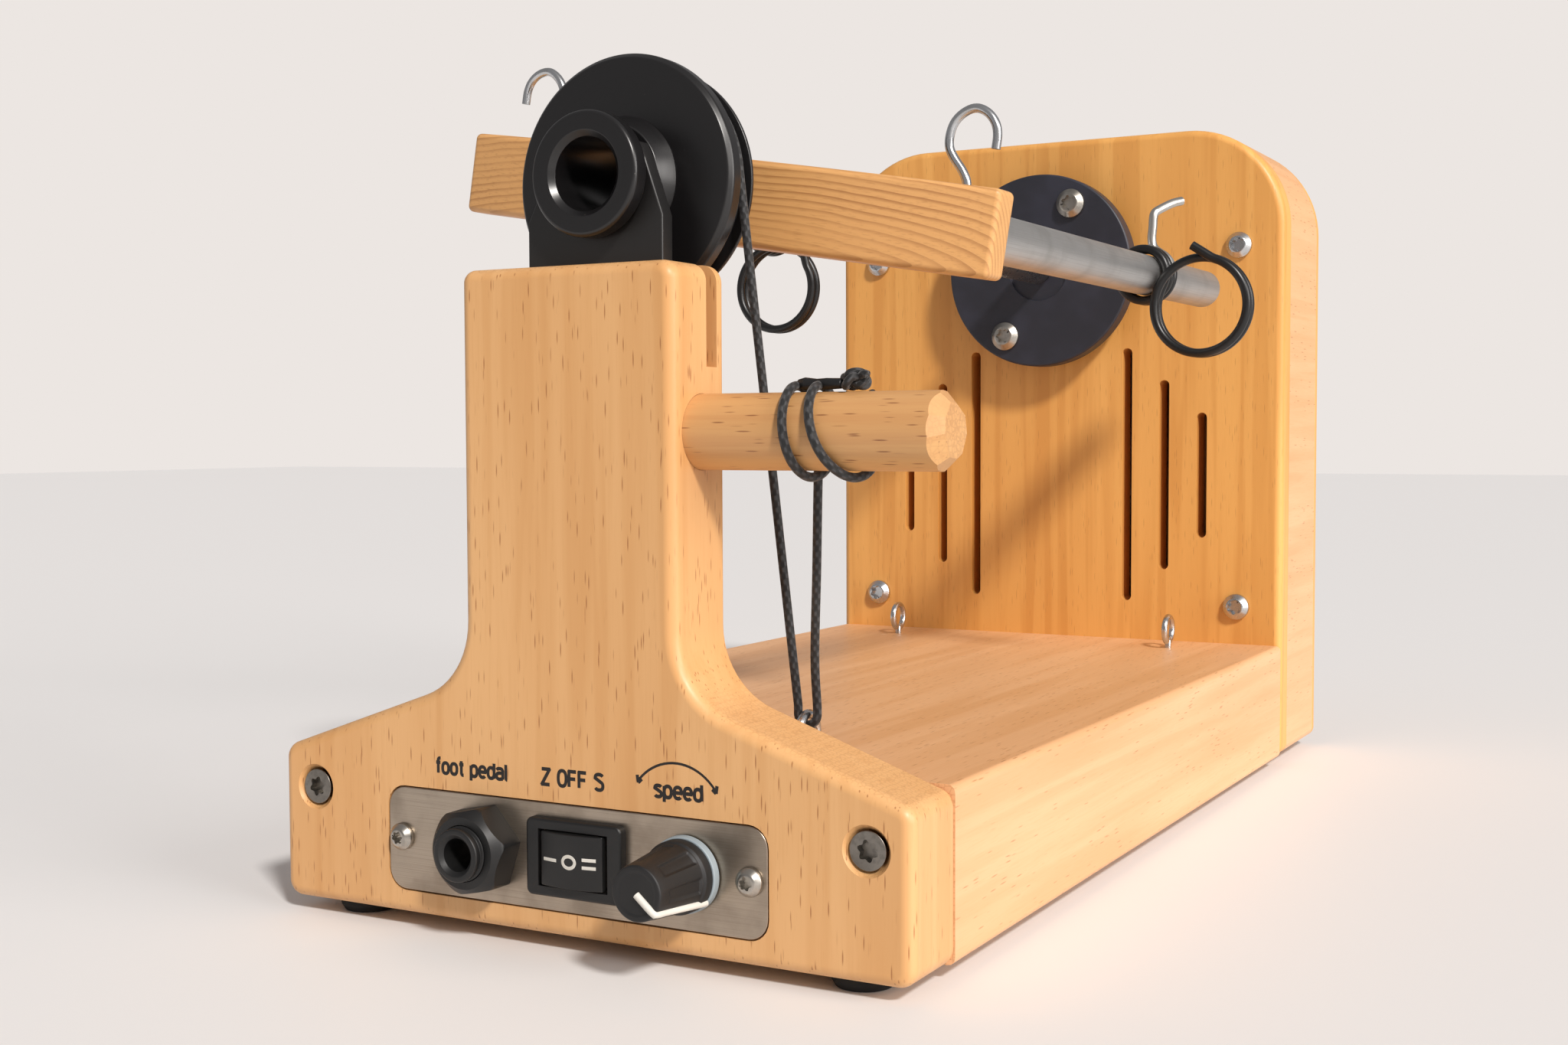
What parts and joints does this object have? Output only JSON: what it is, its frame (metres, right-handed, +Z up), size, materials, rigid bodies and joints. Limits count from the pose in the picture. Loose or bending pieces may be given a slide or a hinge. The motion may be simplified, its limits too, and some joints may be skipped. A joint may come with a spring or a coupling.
{
  "type": "electric yarn spinner",
  "caption": "Table-top electric spinner: wooden base, post and motor box, driven disc, cord-braked flyer with sliding yarn guides, tension peg, foot-pedal jack, switch and speed knob.",
  "frame": {"origin": "centre of the overall footprint, on the table under the rubber feet", "axes": "+X to the right as seen from the front, where the orifice and the controls are; +Y to the back, along the flyer's axis; +Z up"},
  "size_m": [0.156, 0.3194, 0.1865],
  "materials": {
    "arm_aluminium": "drawn aluminium tube, matt",
    "beech": "oiled and lacquered beech, satin",
    "beech_panel": "lacquered beech panel, satin",
    "black_gloss": "glossy black plastic",
    "black_plastic": "black moulded plastic",
    "black_turned": "black, turned, satin with bright rims",
    "blue_black": "blue-black anodised, satin",
    "board_green": "circuit board",
    "cord": "black braided elastic",
    "dark_steel": "dark oiled spring steel",
    "lead": "insulated leads",
    "nylon": "white nylon",
    "pale_plastic": "light grey plastic",
    "plate_steel": "brushed stainless steel",
    "rubber": "black rubber",
    "steel": "ground steel",
    "walnut_bar": "strongly figured hardwood, satin",
    "zinc": "bright zinc plated"
  },
  "bodies": {
    "stand": {"front_board": "beech", "base_body": "beech", "bottom_cover": "beech_panel", "bottom_cover_screws": "zinc", "rubber_feet": "rubber", "front_board_screws": "dark_steel", "motor_box_housing": "beech", "motor_box_front_panel": "beech_panel", "front_panel_screws": "zinc", "motor_box_back_cover": "beech_panel", "back_cover_screws": "zinc", "control_plate": "plate_steel", "control_plate_screws": "zinc", "jack_body": "black_plastic", "jack_nut": "black_plastic", "switch_housing": "black_plastic", "speed_pot": "steel", "pot_nut": "steel", "bearing_fork": "black_turned", "brake_cord": "cord", "cord_ferrule": "black_plastic", "front_cord_eyes": "zinc", "rear_cord_eyes": "zinc", "drive_belt": "rubber", "motor_body": "steel", "motor_plate": "arm_aluminium", "motor_plate_standoffs": "steel", "motor_screws": "steel", "spindle_bearings": "steel", "bearing_housing": "arm_aluminium", "controller_board": "board_green", "board_standoffs": "nylon", "power_inlet": "black_plastic", "power_inlet_pin": "steel", "inner_leads": "lead"},
    "flyer": {"orifice_tube": "black_turned", "flyer_pulley": "black_turned", "flyer_bar": "walnut_bar", "flyer_arm_right": "arm_aluminium", "flyer_arm_left": "arm_aluminium", "flyer_shaft": "steel", "flyer_hooks": "zinc"},
    "right_guide": {"guide_right": "dark_steel"},
    "left_guide": {"guide_left": "dark_steel"},
    "drive": {"drive_disc": "blue_black", "drive_disc_screws": "zinc", "drive_spindle": "steel", "driven_pulley": "arm_aluminium"},
    "motor_rotor": {"motor_shaft": "steel", "motor_pulley": "arm_aluminium"},
    "peg": {"tension_peg": "beech", "peg_end_screw": "black_gloss", "peg_cord_turns": "cord", "peg_cord_sleeve": "cord", "peg_cord_knot": "cord"},
    "rocker": {"switch_rocker": "black_gloss"},
    "knob": {"speed_knob": "black_plastic", "knob_collar": "pale_plastic", "pot_shaft": "steel"}
  },
  "joints": [
    {"name": "flyer_spin", "type": "hinge", "parent": "stand", "child": "flyer", "pos_m": [-0.007, -0.128, 0.1465], "axis": [0, 1, 0], "continuous": true},
    {"name": "right_guide_slide", "type": "slide", "parent": "flyer", "child": "right_guide", "axis": [0, 1, 0], "range_m": [-0.095, 0.042]},
    {"name": "left_guide_slide", "type": "slide", "parent": "flyer", "child": "left_guide", "axis": [0, 1, 0], "range_m": [-0.103, 0.034]},
    {"name": "disc_spin", "type": "hinge", "parent": "stand", "child": "drive", "pos_m": [-0.007, 0.105, 0.1465], "axis": [0, 1, 0], "continuous": true},
    {"name": "motor_spin", "type": "hinge", "parent": "stand", "child": "motor_rotor", "pos_m": [-0.007, 0.14, 0.085], "axis": [0, 1, 0], "continuous": true},
    {"name": "peg_turn", "type": "hinge", "parent": "stand", "child": "peg", "pos_m": [0.017, -0.1316, 0.098], "axis": [1, 0, 0], "range_deg": [-180, 180]},
    {"name": "rocker_tip", "type": "hinge", "parent": "stand", "child": "rocker", "pos_m": [-0.0045, -0.1396, 0.0185], "axis": [0, 0, 1], "range_deg": [-8, 8]},
    {"name": "speed_turn", "type": "hinge", "parent": "stand", "child": "knob", "pos_m": [0.0193, -0.1416, 0.0185], "axis": [0, 1, 0], "range_deg": [-280, 20]}
  ],
  "couplings": [
    {"joint": "motor_spin", "follows": "disc_spin", "ratio": 3}
  ]
}
